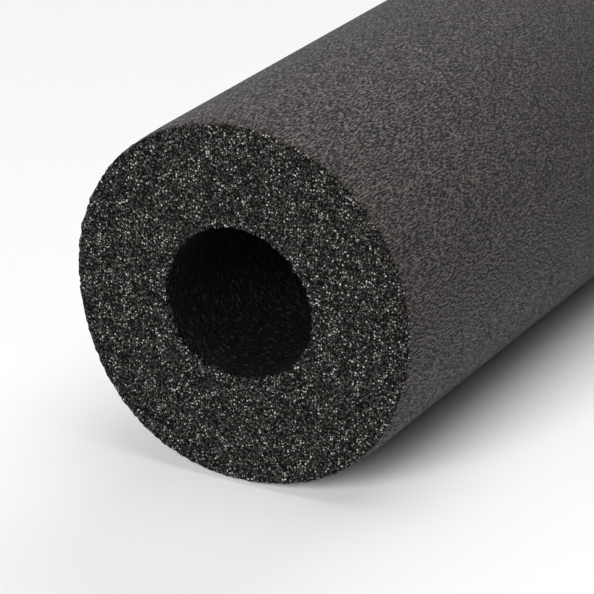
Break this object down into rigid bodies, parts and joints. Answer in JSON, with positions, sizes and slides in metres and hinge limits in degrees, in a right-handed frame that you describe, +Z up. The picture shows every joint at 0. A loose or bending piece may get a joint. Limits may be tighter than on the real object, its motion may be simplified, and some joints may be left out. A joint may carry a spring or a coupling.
{
  "type": "foam pipe insulation tube",
  "caption": "Straight length of flexible black foam rubber tube that is pushed over a pipe to insulate it, cut square at both ends.",
  "frame": {"origin": "on the floor under the middle of the tube, which lies on its side", "axes": "+Y along the tube's axis, away from the cut end seen in the picture; +Z up; +X to the right of a viewer who looks along +Y"},
  "size_m": [0.069, 1, 0.069],
  "materials": {
    "nitrile_foam": "matte, finely pebbled charcoal skin, open cut cells on the ends"
  },
  "bodies": {
    "root": {"foam_tube": "nitrile_foam"}
  },
  "joints": []
}
